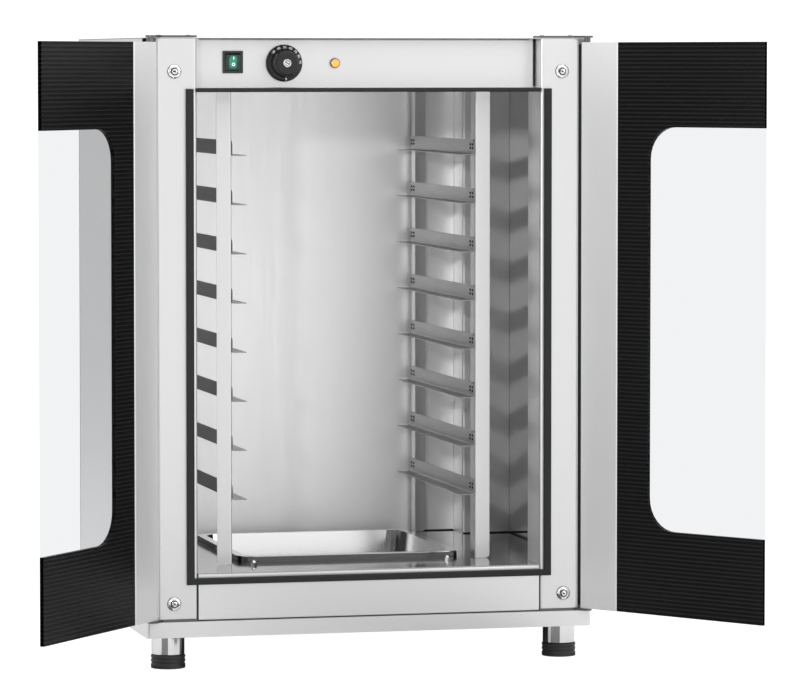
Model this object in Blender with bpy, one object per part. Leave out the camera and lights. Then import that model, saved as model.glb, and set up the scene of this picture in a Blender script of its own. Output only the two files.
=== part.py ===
"""Proofing cabinet: a folded stainless body with two open doors, a tray rack and a water pan.

Lengths are in metres. While it is built, the cabinet stands with its feet on z = 0, its middle on
x = 0 and the front faces of its posts on y = 0, with +y towards its back.
"""
import math

import bmesh
import bpy
from mathutils import Matrix, Vector

# Body
cabinet_half_width = 0.322
cabinet_top = 0.884
back_space = 0.0478
skin = 0.001
fit_gap = 0.0003
fold_radius = 0.0015
fold_steps = 3
cut_overrun = 0.002

# Feet and plinth
foot_inset_side = 0.037
foot_inset_front = 0.038
foot_inset_rear = 0.0406
leg_diameter = 0.046
leg_spigot_diameter = 0.036
leg_edge = 0.001
shoe_diameter = 0.0485
shoe_groove = 0.0009
shoe_height = 0.0187
shoe_sole = 0.006
round_steps = 32
plinth_bottom = 0.0458
plinth_height = 0.0219
plinth_overhang = 0.007
plinth_wall = 0.0012
plinth_return = 0.010
plinth_corner = 0.004
corner_steps = 4

# Front posts and hinge plates
rebate_width = 0.017
post_width = 0.057
post_inner_return = 0.064
post_outer_return = 0.060
post_fold_radius = 0.003
rebate_depth = 0.020
hinge_plate_thickness = 0.003
hinge_plate_depth = 0.040
hinge_ear_radius = 0.008
hinge_ear_root = 0.007
hinge_ear_back = 0.014
pin_inset = 0.0076
pin_diameter = 0.005
pin_collar_diameter = 0.009
pin_engagement = 0.007
side_panel_return = 0.020

# Control panel and lower front panel
control_recess = 0.028
control_panel_height = 0.0702
control_lip_height = 0.0058
control_top_return = 0.032
control_lip_return = 0.020
control_fold_radius = 0.0012
control_end_gap = 0.0018
control_end_return = 0.012
lower_panel_height = 0.0597
lower_panel_return = 0.015

# Door gasket
gasket_thickness = 0.0047
gasket_overlap = 0.016
gasket_width = 0.0106
gasket_bottom_height = 0.0087
gasket_edge = 0.0012
door_gap = 0.0005

# Chamber
sill_height = 0.007
headroom = 0.0211
rack_side_gap = 0.0476
rack_back_gap = 0.0099
column_depth = 0.0548

# Tray rack
rack_front = 0.0999
rack_depth = 0.383
rail_flange = 0.0211
rail_leg = 0.0216
rail_corner = 0.008
first_rail_rise = 0.0922
rail_count = 8
upright_width = 0.0219
upright_flange = 0.025
upright_corner = 0.006

# Water pan, its support and the heater
pan_rim_half = 0.163
pan_rim_width = 0.011
pan_taper = 0.006
pan_depth = 0.050
pan_wall = 0.0008
pan_corner = 0.022
support_inset = 0.001
support_height = 0.0064
support_corner = 0.012
pan_clearance = 0.0015
heater_rise = 0.0103
heater_tube_diameter = 0.008
heater_half_span = 0.045
heater_front_y = 0.150
heater_bend_steps = 12
heater_tube_sides = 12
heater_flange_width = 0.160
heater_flange_height = 0.018
heater_flange_thickness = 0.003

# Controls
switch_inset = 0.0565
switch_rise = 0.0361
switch_bezel_width = 0.0288
switch_bezel_height = 0.0313
switch_bezel_thickness = 0.0023
switch_body_width = 0.0264
switch_body_height = 0.0289
switch_body_depth = 0.024
rocker_width = 0.021
rocker_radius = 0.012
rocker_front = 0.005
rocker_dip = 0.0012
rocker_back = 0.007
rocker_steps = 5
rocker_pin_diameter = 0.003
rocker_pin_length = 0.0012
rocker_tilt = math.radians(8)
knob_spacing = 0.0735
knob_rise = 0.0346
knob_skirt_diameter = 0.052
knob_skirt_height = 0.005
knob_dome_diameter = 0.038
knob_height = 0.0235
knob_insert_diameter = 0.012
knob_insert_recess = 0.0008
spindle_diameter = 0.006
spindle_length = 0.022
thermostat_width = 0.044
thermostat_depth = 0.026
thermostat_nose_diameter = 0.010
lamp_spacing = 0.0734
lamp_diameter = 0.014
lamp_shank_diameter = 0.011
lamp_proud = 0.005
lamp_length = 0.024

# Cable gland in the back
gland_inset = 0.082
gland_rise = 0.0323
gland_diameter = 0.022
gland_shank_diameter = 0.016
gland_bore_diameter = 0.009
gland_proud = 0.009
gland_inside = 0.014

# Doors
door_meeting_gap = 0.0015
door_top_gap = 0.0061
door_open_left = math.radians(128.75)
door_open_right = math.radians(125.49)
stile_edge = 0.0075
stile_width = 0.0653
stile_edge_radius = 0.0025
stile_bush_height = 0.009
sheet_thickness = 0.006
sheet_wall = 0.0006
sheet_rib = 0.0005
sheet_cell_pitch = 0.0058
window_reach = 0.112
window_margin = 0.1192
window_radius = 0.045

# Widths and depths worked out from the sizes above
post_outer_x = cabinet_half_width - rebate_width
post_inner_x = post_outer_x - post_width
upright_inner_x = post_inner_x - rack_side_gap - upright_width
rail_outer_x = upright_inner_x - fit_gap
gasket_outer_x = post_inner_x + gasket_overlap
chamber_back = rack_front + rack_depth + rack_back_gap
column_front = chamber_back - column_depth
cabinet_depth = chamber_back + back_space
back_panel_y = cabinet_depth - skin
pan_centre_y = rack_front + rack_depth / 2
support_half = pan_rim_half - support_inset
pan_wall_half = pan_rim_half - pan_rim_width
pan_hole_half = pan_wall_half + pan_clearance
switch_x = switch_inset - post_inner_x
knob_x = switch_x + knob_spacing
lamp_x = knob_x + lamp_spacing
gland_x = cabinet_half_width - gland_inset
stile_thickness = sheet_thickness + 2 * (skin + fit_gap)
door_face_y = -(fit_gap + gasket_thickness + door_gap)
pin_x = cabinet_half_width - pin_inset
pin_y = door_face_y - stile_thickness / 2
door_reach = pin_x - door_meeting_gap

# Levels worked out from the ground up
plinth_top = plinth_bottom + plinth_height
panel_bottom = plinth_top + fit_gap
post_bottom = panel_bottom + hinge_plate_thickness + fit_gap
lower_panel_top = panel_bottom + lower_panel_height
floor_level = lower_panel_top + sill_height
support_top = floor_level + fit_gap + support_height
first_rail_level = floor_level + first_rail_rise
control_ledge = cabinet_top - control_panel_height
ceiling_level = control_ledge - control_lip_height
rail_pitch = (ceiling_level - first_rail_level - headroom) / rail_count
panel_top = cabinet_top - skin - fit_gap
door_height = cabinet_top - door_top_gap - post_bottom
switch_level = control_ledge + switch_rise
knob_level = control_ledge + knob_rise
gland_level = plinth_top + gland_rise
heater_level = plinth_top + heater_rise

# Cabinet sides: -1 is the left, +1 the right
sides = {"left": -1, "right": 1}


def clear_scene():
    for old in list(bpy.data.objects):
        bpy.data.objects.remove(old, do_unlink=True)


def finish(name, colour, roughness, metallic=0.0, alpha=1.0):
    """Material of one finish."""
    material = bpy.data.materials.new(name)
    material.use_nodes = True
    shader = material.node_tree.nodes["Principled BSDF"]
    shader.inputs["Base Color"].default_value = (*colour, 1.0)
    shader.inputs["Roughness"].default_value = roughness
    shader.inputs["Metallic"].default_value = metallic
    shader.inputs["Alpha"].default_value = alpha
    return material


def empty(name, parent, location=(0, 0, 0), turn=0.0):
    """Empty that carries a group of pieces, on their joint's axis where they move."""
    holder = bpy.data.objects.new(name, None)
    bpy.context.collection.objects.link(holder)
    holder.parent = parent
    holder.location = location
    holder.rotation_euler = (0, 0, turn)
    return holder


def piece(name, bm, material, parent, location=(0, 0, 0), turn=(0, 0, 0), smooth=False):
    """Object made from a bmesh, which is freed."""
    bmesh.ops.recalc_face_normals(bm, faces=bm.faces)
    mesh = bpy.data.meshes.new(name)
    bm.to_mesh(mesh)
    bm.free()
    mesh.materials.append(material)
    if smooth:
        mesh.shade_smooth()
        mesh.set_sharp_from_angle(angle=math.radians(35))
    made = bpy.data.objects.new(name, mesh)
    bpy.context.collection.objects.link(made)
    made.parent = parent
    made.location = location
    made.rotation_euler = turn
    return made


def combine(target, bm, operation):
    """Joins a second shape to a piece, or cuts it out, in the piece's own coordinates."""
    tool = piece(f"{target.name}.{operation.lower()}", bm, target.active_material, target.parent)
    tool.location = target.location
    tool.rotation_euler = target.rotation_euler
    tool.hide_render = True
    tool.display_type = "WIRE"
    modifier = target.modifiers.new(operation.lower(), "BOOLEAN")
    modifier.operation = operation
    modifier.solver = "EXACT"
    modifier.object = tool


def cut(target, bm):
    combine(target, bm, "DIFFERENCE")


def join(target, bm):
    combine(target, bm, "UNION")


def rectangle(u0, u1, v0, v1):
    return [(u0, v0), (u1, v0), (u1, v1), (u0, v1)]


def arc(centre, radius, start, end, steps):
    """Points of an arc, both ends among them, with angles in radians."""
    points = []
    for step in range(steps + 1):
        angle = start + (end - start) * step / steps
        points.append((centre[0] + radius * math.cos(angle), centre[1] + radius * math.sin(angle)))
    return points


def rounded_rectangle(u0, u1, v0, v1, radius, steps=corner_steps):
    quarter = math.pi / 2
    corners = [(u1 - radius, v1 - radius), (u0 + radius, v1 - radius)]
    corners += [(u0 + radius, v0 + radius), (u1 - radius, v0 + radius)]
    points = []
    for index, corner in enumerate(corners):
        points += arc(corner, radius, index * quarter, (index + 1) * quarter, steps)
    return points


def left_of(direction):
    return Vector((-direction.y, direction.x))


def offset_path(path, distance):
    """Path moved to its left by a distance, with mitred corners."""
    moved = []
    for index, point in enumerate(path):
        before = (point - path[index - 1]).normalized() if index else None
        after = (path[index + 1] - point).normalized() if index < len(path) - 1 else None
        first = left_of(before or after)
        second = left_of(after or before)
        middle = (first + second).normalized()
        moved.append(point + middle * distance / middle.dot(first))
    return moved


def folded_outline(path, thickness, radius, steps=fold_steps):
    """Outline of a folded sheet that lies to the left of the path its outer face follows."""
    middle = offset_path([Vector(point) for point in path], thickness / 2)
    middle_radius = radius + thickness / 2
    last = len(middle) - 1
    samples = [(middle[0], left_of((middle[1] - middle[0]).normalized()))]
    for index in range(1, last):
        corner = middle[index]
        before = (corner - middle[index - 1]).normalized()
        after = (middle[index + 1] - corner).normalized()
        turn = math.atan2(before.x * after.y - before.y * after.x, before.dot(after))
        start = corner - before * middle_radius * math.tan(abs(turn) / 2)
        reach = math.copysign(middle_radius, turn)
        centre = start + left_of(before) * reach
        for step in range(steps + 1):
            normal = left_of(before).copy()
            normal.rotate(Matrix.Rotation(turn * step / steps, 2))
            samples.append((centre - normal * reach, normal))
    samples.append((middle[last], left_of((middle[last] - middle[last - 1]).normalized())))
    near = [tuple(point - normal * thickness / 2) for point, normal in samples]
    far = [tuple(point + normal * thickness / 2) for point, normal in samples]
    return near + far[::-1]


def spot(axis, u, v, w):
    """Point of an outline's (u, v) at the height w along an axis."""
    return {"x": (w, u, v), "y": (u, w, v), "z": (u, v, w)}[axis]


def prism(outline, axis, start, end):
    """Solid swept along an axis from a flat outline in the other two axes."""
    bm = bmesh.new()
    face = bm.faces.new([bm.verts.new(spot(axis, u, v, start)) for u, v in outline])
    swept = bmesh.ops.extrude_face_region(bm, geom=[face])["geom"]
    moved = [item for item in swept if isinstance(item, bmesh.types.BMVert)]
    bmesh.ops.translate(bm, verts=moved, vec=Vector(spot(axis, 0, 0, end - start)))
    return bm


def box(x0, x1, y0, y1, z0, z1):
    return prism(rectangle(x0, x1, y0, y1), "z", z0, z1)


def loft(loops, closed=False):
    """Solid whose skin runs from loop to loop; it is capped at both ends, or runs back to the first."""
    bm = bmesh.new()
    rings = [[bm.verts.new(point) for point in loop] for loop in loops]
    pairs = list(zip(rings, rings[1:]))
    if closed:
        pairs.append((rings[-1], rings[0]))
    else:
        bm.faces.new(rings[0])
        bm.faces.new(rings[-1])
    count = len(rings[0])
    for lower, upper in pairs:
        for index in range(count):
            other = (index + 1) % count
            bm.faces.new((lower[index], lower[other], upper[other], upper[index]))
    return bm


def level_loop(half_x, y0, y1, radius, z):
    """Rounded rectangle at one height, for lofts."""
    return [(x, y, z) for x, y in rounded_rectangle(-half_x, half_x, y0, y1, radius)]


def turned(profile, steps=round_steps, closed=False):
    """Solid turned about z from (radius, height) points; an open profile ends on the axis."""
    bm = bmesh.new()
    verts = [bm.verts.new((radius, 0, height)) for radius, height in profile]
    edges = [bm.edges.new(pair) for pair in zip(verts, verts[1:])]
    if closed:
        edges.append(bm.edges.new((verts[-1], verts[0])))
    full = 2 * math.pi
    bmesh.ops.spin(bm, geom=verts + edges, axis=(0, 0, 1), steps=steps, angle=full, use_merge=True)
    bmesh.ops.remove_doubles(bm, verts=bm.verts, dist=fit_gap / 100)
    return bm


def cylinder(diameter, z0, z1, centre=(0, 0), steps=16):
    return prism(arc(centre, diameter / 2, 0, 2 * math.pi, steps)[:-1], "z", z0, z1)


def add_plinth(material, root):
    """Tray-shaped base frame with a deck, a skirt and an inward return all round."""
    front, back = -plinth_overhang, cabinet_depth
    half = cabinet_half_width
    wall, ledge = plinth_wall, plinth_wall + plinth_return
    under_deck = plinth_top - wall
    over_return = plinth_bottom + wall
    inner_corner = plinth_corner - wall
    loops = [
        level_loop(half - wall, front + wall, back - wall, inner_corner, under_deck),
        level_loop(half - wall, front + wall, back - wall, inner_corner, over_return),
        level_loop(half - ledge, front + ledge, back - ledge, plinth_corner, over_return),
        level_loop(half - ledge, front + ledge, back - ledge, plinth_corner, plinth_bottom),
        level_loop(half, front, back, plinth_corner, plinth_bottom),
        level_loop(half, front, back, plinth_corner, plinth_top),
    ]
    piece("plinth_frame", loft(loops), material, root)


def add_feet(steel, rubber, root):
    """Steel legs pushed into ribbed rubber shoes, under the four corners of the plinth."""
    leg, spigot, shoe = leg_diameter / 2, leg_spigot_diameter / 2, shoe_diameter / 2
    leg_top = plinth_top - plinth_wall - fit_gap
    leg_step = shoe_height + fit_gap
    leg_profile = [
        (0, shoe_sole + fit_gap), (spigot, shoe_sole + fit_gap), (spigot, leg_step),
        (leg - leg_edge, leg_step), (leg, leg_step + leg_edge), (leg, leg_top), (0, leg_top),
    ]
    # The shoe's side has a tread at the ground, a groove, two ribs and a soft top edge
    side_shares = [(0.0, 1), (0.28, 1), (0.34, 0), (0.44, 0), (0.50, 1), (0.62, 1), (0.68, 0), (0.74, 0),
                   (0.80, 1), (0.94, 1), (1.0, 0)]
    shoe_profile = [(0, 0)]
    for height_share, rib_share in side_shares:
        shoe_profile.append((shoe - shoe_groove * (1 - rib_share), shoe_height * height_share))
    bore = spigot + fit_gap
    shoe_profile += [(bore, shoe_height), (bore, shoe_sole), (0, shoe_sole)]
    rows = {"front": -plinth_overhang + foot_inset_front, "rear": cabinet_depth - foot_inset_rear}
    for row, y in rows.items():
        for side, sign in sides.items():
            place = (sign * (cabinet_half_width - foot_inset_side), y, 0)
            piece(f"foot_leg_{row}_{side}", turned(leg_profile), steel, root, place, smooth=True)
            piece(f"foot_shoe_{row}_{side}", turned(shoe_profile), rubber, root, place, smooth=True)


def add_outer_panels(material, root):
    """Single-skin side panels with folded edges, and one sheet folded over for the top and back."""
    back_return_y = back_panel_y - fit_gap
    path = [
        (post_outer_x + fit_gap, rebate_depth), (cabinet_half_width, rebate_depth),
        (cabinet_half_width, back_return_y), (cabinet_half_width - side_panel_return, back_return_y),
    ]
    outline = folded_outline(path, skin, fold_radius)
    for side, sign in sides.items():
        mirrored = [(sign * x, y) for x, y in outline]
        piece(f"side_panel_{side}", prism(mirrored, "z", panel_bottom, panel_top), material, root)
    half = cabinet_half_width
    path = [(cabinet_depth, panel_bottom), (cabinet_depth, cabinet_top), (0, cabinet_top)]
    outline = folded_outline(path, skin, fit_gap)
    back = piece("top_and_back_panel", prism(outline, "x", -half, half), material, root)
    hole = arc((gland_x, gland_level), gland_shank_diameter / 2 + fit_gap, 0, 2 * math.pi, round_steps)
    cut(back, prism(hole[:-1], "y", back_panel_y - cut_overrun, cabinet_depth + cut_overrun))


def add_front_posts(material, root):
    """Channel-shaped posts with a wide rounded fold on each front edge."""
    path = [
        (post_inner_x, post_inner_return), (post_inner_x, 0),
        (post_outer_x, 0), (post_outer_x, post_outer_return),
    ]
    outline = folded_outline(path, skin, post_fold_radius, steps=5)
    for side, sign in sides.items():
        mirrored = [(sign * x, y) for x, y in outline]
        piece(f"front_post_{side}", prism(mirrored, "z", post_bottom, panel_top), material, root)


def add_hinge_plates(material, root):
    """Flat plates on and under the posts, each with an ear and a pin for its door."""
    ear = arc((pin_x, pin_y), hinge_ear_radius, -math.radians(135), math.radians(20), 8)
    outline = [(post_inner_x, 0), (post_outer_x - hinge_ear_root, 0), *ear,
               (post_outer_x, hinge_ear_back), (post_outer_x, hinge_plate_depth),
               (post_inner_x, hinge_plate_depth)]
    top_plate = cabinet_top + fit_gap
    door_bottom = post_bottom
    door_top = door_bottom + door_height
    for side, sign in sides.items():
        mirrored = [(sign * x, y) for x, y in outline]
        centre = (sign * pin_x, pin_y)
        top = piece(f"hinge_top_{side}", prism(mirrored, "z", top_plate, top_plate + hinge_plate_thickness),
                    material, root)
        inside = top_plate + hinge_plate_thickness / 2
        join(top, cylinder(pin_collar_diameter, door_top + fit_gap, inside, centre))
        join(top, cylinder(pin_diameter, door_top - pin_engagement, inside, centre))
        bottom = piece(f"hinge_bottom_{side}",
                       prism(mirrored, "z", panel_bottom, panel_bottom + hinge_plate_thickness),
                       material, root)
        inside = panel_bottom + hinge_plate_thickness / 2
        join(bottom, cylinder(pin_diameter, inside, door_bottom + pin_engagement, centre))


def chamber_outline(front_y):
    """Outline that fits between the posts, the side panels and the rear columns."""
    inner = post_inner_x - fit_gap
    outer = cabinet_half_width - skin - fit_gap
    half = [(inner, front_y), (inner, post_inner_return + fit_gap), (outer, post_inner_return + fit_gap),
            (outer, column_front - fit_gap), (inner, column_front - fit_gap),
            (inner, chamber_back - fit_gap)]
    return half + [(-x, y) for x, y in reversed(half)]


def add_chamber(material, root):
    """Floor with its front sill and pan hole, ceiling, and back liner with the rear columns."""
    inner = post_inner_x - fit_gap
    floor = piece("floor_pan", prism(chamber_outline(0), "z", floor_level - skin, floor_level),
                  material, root)
    sill_bottom = lower_panel_top + fit_gap
    join(floor, box(-inner, inner, 0, skin, sill_bottom, floor_level - skin / 2))
    hole = rounded_rectangle(-pan_hole_half, pan_hole_half, pan_centre_y - pan_hole_half,
                             pan_centre_y + pan_hole_half, pan_corner)
    cut(floor, prism(hole, "z", floor_level - skin - cut_overrun, floor_level + cut_overrun))
    ceiling = chamber_outline(control_lip_return + fit_gap)
    piece("ceiling_panel", prism(ceiling, "z", ceiling_level, ceiling_level + skin), material, root)
    outer = cabinet_half_width - skin - fit_gap
    path = [
        (-outer, column_front), (-post_inner_x, column_front), (-post_inner_x, chamber_back),
        (post_inner_x, chamber_back), (post_inner_x, column_front), (outer, column_front),
    ]
    liner = prism(folded_outline(path, skin, fold_radius), "z", floor_level + fit_gap,
                  ceiling_level - fit_gap)
    piece("back_liner", liner, material, root)


def add_front_panels(material, root):
    """Recessed control panel with its ledge and lip, and the lower front panel."""
    inner = post_inner_x - fit_gap
    path = [
        (control_recess + control_top_return, panel_top), (control_recess, panel_top),
        (control_recess, control_ledge), (0, control_ledge),
        (0, ceiling_level), (control_lip_return, ceiling_level),
    ]
    outline = folded_outline(path, skin, control_fold_radius)
    panel = piece("control_panel", prism(outline, "x", -inner, inner), material, root)

    # The recessed face ends short of the posts and is folded back there, above its ledge
    end_x = inner - control_end_gap
    fold_start = end_x - control_end_return / 2
    ledge_fold = control_ledge + control_fold_radius
    path = [(fold_start, control_recess), (end_x, control_recess),
            (end_x, control_recess + control_end_return)]
    outline = folded_outline(path, skin, fold_radius)
    spared = end_x - control_end_return / 3
    behind = control_recess + control_top_return + cut_overrun
    for sign in sides.values():
        ends = sorted((sign * spared, sign * (inner + cut_overrun)))
        cut(panel, box(*ends, control_recess - cut_overrun, behind, ledge_fold, panel_top + cut_overrun))
        mirrored = [(sign * x, y) for x, y in outline]
        join(panel, prism(mirrored, "z", ledge_fold, panel_top))
    near, far = control_recess - cut_overrun, control_recess + skin + cut_overrun
    half_width = switch_body_width / 2 + fit_gap
    half_height = switch_body_height / 2 + fit_gap
    slot = rectangle(switch_x - half_width, switch_x + half_width,
                     switch_level - half_height, switch_level + half_height)
    cut(panel, prism(slot, "y", near, far))
    for x, diameter in ((knob_x, thermostat_nose_diameter), (lamp_x, lamp_shank_diameter)):
        hole = arc((x, knob_level), diameter / 2 + fit_gap, 0, 2 * math.pi, 24)
        cut(panel, prism(hole[:-1], "y", near, far))
    path = [
        (lower_panel_return, lower_panel_top), (0, lower_panel_top),
        (0, panel_bottom), (lower_panel_return, panel_bottom),
    ]
    outline = folded_outline(path, skin, fold_radius)
    piece("lower_front_panel", prism(outline, "x", -inner, inner), material, root)


def add_gaskets(material, root):
    """Door seal: a strip down each side and along the foot in one length, and one over the opening."""
    outer, inner = gasket_outer_x, gasket_outer_x - gasket_width
    bottom, top = lower_panel_top - gasket_bottom_height, control_ledge - gasket_edge
    back, front = -fit_gap, -fit_gap - gasket_thickness
    levels = ((0, back), (0, front + gasket_edge), (gasket_edge, front))

    def side_loop(inset, y):
        half = [(outer - inset, bottom + inset), (outer - inset, top - inset), (inner + inset, top - inset),
                (inner + inset, lower_panel_top - inset)]
        return [(x, y, z) for x, z in half] + [(-x, y, z) for x, z in reversed(half)]

    def top_loop(inset, y):
        half = post_inner_x - fit_gap - inset
        outline = rectangle(-half, half, ceiling_level + inset, control_ledge - inset)
        return [(x, y, z) for x, z in outline]

    for name, loop in (("gasket_sides", side_loop), ("gasket_top", top_loop)):
        piece(name, loft([loop(inset, y) for inset, y in levels]), material, root)


def add_rack(material, root):
    """Four angle uprights that stand on the floor, and L-shaped rails at one pitch on each side."""
    rack_rear = rack_front + rack_depth
    bottom, top = floor_level + fit_gap, ceiling_level - fit_gap
    outer_x = upright_inner_x + upright_width
    path = [(upright_inner_x, upright_flange), (upright_inner_x, 0), (outer_x, 0)]
    section = folded_outline(path, skin, fold_radius)
    rows = {"front": (rack_front, 1), "rear": (rack_rear, -1)}
    for row, (y, facing) in rows.items():
        for side, sign in sides.items():
            outline = [(sign * u, facing * v) for u, v in section]
            bm = prism(outline, "z", bottom, top)
            corner = [edge for edge in bm.edges
                      if all(abs(abs(v.co.x) - outer_x) < fit_gap and abs(v.co.z - bottom) < fit_gap
                             for v in edge.verts)]
            bmesh.ops.bevel(bm, geom=corner, offset=upright_corner, segments=4, profile=0.5,
                            affect="EDGES")
            piece(f"upright_{row}_{side}", bm, material, root, (0, y, 0))
    path = [(rail_outer_x - rail_flange, 0), (rail_outer_x, 0), (rail_outer_x, rail_leg)]
    section = folded_outline(path, skin, fold_radius)
    for side, sign in sides.items():
        for number in range(rail_count):
            outline = [(sign * u, v) for u, v in section]
            bm = prism(outline, "y", 0, rack_depth)
            corner = [edge for edge in bm.edges
                      if all(abs(v.co.y) < fit_gap and abs(v.co.z - rail_leg) < fit_gap
                             for v in edge.verts)]
            bmesh.ops.bevel(bm, geom=corner, offset=rail_corner, segments=4, profile=0.5,
                            affect="EDGES")
            place = (0, rack_front, first_rail_level + number * rail_pitch)
            piece(f"rail_{side}_{number + 1}", bm, material, root, place)


def add_water_pan(pan_steel, support_steel, root):
    """Drawn pan that hangs by its rim on a low support frame over the hole in the floor."""
    y0, y1 = pan_centre_y - support_half, pan_centre_y + support_half
    base = floor_level + fit_gap
    hole_edge = support_half - pan_hole_half
    inner_corner = support_corner - skin
    loops = [
        level_loop(support_half, y0, y1, support_corner, base),
        level_loop(support_half, y0, y1, support_corner, support_top),
        level_loop(pan_hole_half, y0 + hole_edge, y1 - hole_edge, pan_corner, support_top),
        level_loop(pan_hole_half, y0 + hole_edge, y1 - hole_edge, pan_corner, support_top - skin),
        level_loop(support_half - skin, y0 + skin, y1 - skin, inner_corner, support_top - skin),
        level_loop(support_half - skin, y0 + skin, y1 - skin, inner_corner, base),
    ]
    piece("pan_support", loft(loops, closed=True), support_steel, root)

    def pan_loop(half, radius, z):
        return level_loop(half, -half, half, radius, z)

    # Heights here are measured from the underside of the rim
    body_bottom = -pan_depth
    inner_top = pan_wall_half - pan_wall
    low_half = pan_wall_half - pan_taper
    loops = [
        pan_loop(low_half - pan_wall, pan_corner - pan_wall, body_bottom + pan_wall),
        pan_loop(inner_top, pan_corner - pan_wall, pan_wall),
        pan_loop(pan_rim_half, pan_corner, pan_wall),
        pan_loop(pan_rim_half, pan_corner, 0),
        pan_loop(pan_wall_half, pan_corner, 0),
        pan_loop(low_half, pan_corner, body_bottom),
    ]
    lift = empty("pan_lift", root, (0, pan_centre_y, support_top + fit_gap))
    piece("water_pan", loft(loops), pan_steel, lift)


def add_heater(material, root):
    """Tubular element bent to a U, carried by a flange plate on the back panel."""
    radius = heater_tube_diameter / 2
    flange_front = back_panel_y - fit_gap - heater_flange_thickness
    path = [(heater_half_span, flange_front + heater_flange_thickness / 2)]
    bend_y = heater_front_y + heater_half_span
    path += arc((0, bend_y), heater_half_span, 0, -math.pi, heater_bend_steps)
    path.append((-heater_half_span, path[0][1]))
    points = [Vector((x, y, heater_level)) for x, y in path]
    loops = []
    for index, point in enumerate(points):
        ahead = points[min(index + 1, len(points) - 1)] - points[max(index - 1, 0)]
        across = ahead.normalized().cross(Vector((0, 0, 1)))
        ring = arc((0, 0), radius, 0, 2 * math.pi, heater_tube_sides)[:-1]
        loops.append([point + across * u + Vector((0, 0, v)) for u, v in ring])
    element = piece("heater_element", loft(loops), material, root, smooth=True)
    half_width, half_height = heater_flange_width / 2, heater_flange_height / 2
    join(element, box(-half_width, half_width, flange_front, back_panel_y - fit_gap,
                      heater_level - half_height, heater_level + half_height))


def add_switch(case, lens, root):
    """Rocker switch: a housing through the panel and a rocker on two short pins, tilted to on."""
    face = control_recess - fit_gap
    behind = control_recess + skin + fit_gap + switch_body_depth
    x, z = switch_x, switch_level
    bezel = box(x - switch_bezel_width / 2, x + switch_bezel_width / 2,
                face - switch_bezel_thickness, face,
                z - switch_bezel_height / 2, z + switch_bezel_height / 2)
    housing = piece("switch_housing", bezel, case, root)
    join(housing, box(x - switch_body_width / 2, x + switch_body_width / 2,
                      face - switch_bezel_thickness / 2, behind,
                      z - switch_body_height / 2, z + switch_body_height / 2))
    clear_half = rocker_width / 2 + fit_gap
    clear_radius = rocker_radius + fit_gap
    pivot_y = face - switch_bezel_thickness + rocker_front - fit_gap * 6
    cavity_back = pivot_y + rocker_back + clear_radius * math.sin(rocker_tilt) + fit_gap
    cut(housing, box(x - clear_half, x + clear_half,
                     face - switch_bezel_thickness - cut_overrun, cavity_back,
                     z - clear_radius, z + clear_radius))
    pin_hole = arc((pivot_y, z), rocker_pin_diameter / 2 + fit_gap, 0, 2 * math.pi, 16)
    pin_reach = rocker_width / 2 + rocker_pin_length + fit_gap
    cut(housing, prism(pin_hole[:-1], "x", x - pin_reach, x + pin_reach))

    # Section in (depth, height) about the pivot, with ends that keep to one radius as it swings
    top = math.acos(rocker_front / rocker_radius)
    low = math.pi - math.acos(rocker_back / rocker_radius)
    upper = arc((0, 0), rocker_radius, top, low, rocker_steps)
    section = [(rocker_front - rocker_dip, 0), *upper, *[(d, -h) for d, h in reversed(upper)]]
    outline = [(-d, h) for d, h in section]
    pivot = empty("rocker_pivot", root, (x, pivot_y, z))
    rocker = piece("switch_rocker", prism(outline, "x", -rocker_width / 2, rocker_width / 2),
                   lens, pivot, turn=(rocker_tilt, 0, 0))
    pin = arc((0, 0), rocker_pin_diameter / 2, 0, 2 * math.pi, 16)[:-1]
    length = rocker_width / 2 + rocker_pin_length
    join(rocker, prism(pin, "x", -length, length))


def add_thermostat(case, knob_plastic, root):
    """Thermostat behind the panel, and the round knob on the spindle that goes into it."""
    back = control_recess + skin + fit_gap
    half = thermostat_width / 2
    body = piece("thermostat_body", box(knob_x - half, knob_x + half, back, back + thermostat_depth,
                                        control_ledge + fit_gap, control_ledge + fit_gap + thermostat_width),
                 case, root)
    nose = arc((knob_x, knob_level), thermostat_nose_diameter / 2, 0, 2 * math.pi, 24)[:-1]
    join(body, prism(nose, "y", control_recess, back + thermostat_depth / 2))
    bore = arc((knob_x, knob_level), spindle_diameter / 2 + fit_gap, 0, 2 * math.pi, 24)[:-1]
    knob_back = control_recess - fit_gap
    spindle_end = knob_back + spindle_length
    cut(body, prism(bore, "y", control_recess - cut_overrun, spindle_end + fit_gap))

    skirt, dome = knob_skirt_diameter / 2, knob_dome_diameter / 2
    insert, spindle = knob_insert_diameter / 2, spindle_diameter / 2
    edge = knob_skirt_height / 4
    crown = dome / 5
    profile = [
        (0, -spindle_length), (spindle, -spindle_length), (spindle, 0), (skirt - edge, 0),
        (skirt, edge), (skirt, knob_skirt_height - 2 * edge), (skirt - 2 * edge, knob_skirt_height),
        (dome + edge, knob_skirt_height + edge / 2), (dome, knob_skirt_height + 2 * edge),
    ]
    profile += arc((dome - crown - edge, knob_height - crown), crown, 0, math.pi / 2, 4)
    profile += [(insert, knob_height), (insert, knob_height - knob_insert_recess),
                (0, knob_height - knob_insert_recess)]
    pivot = empty("knob_pivot", root, (knob_x, knob_back, knob_level))
    piece("thermostat_knob", turned(profile), knob_plastic, pivot, turn=(math.pi / 2, 0, 0), smooth=True)


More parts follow.
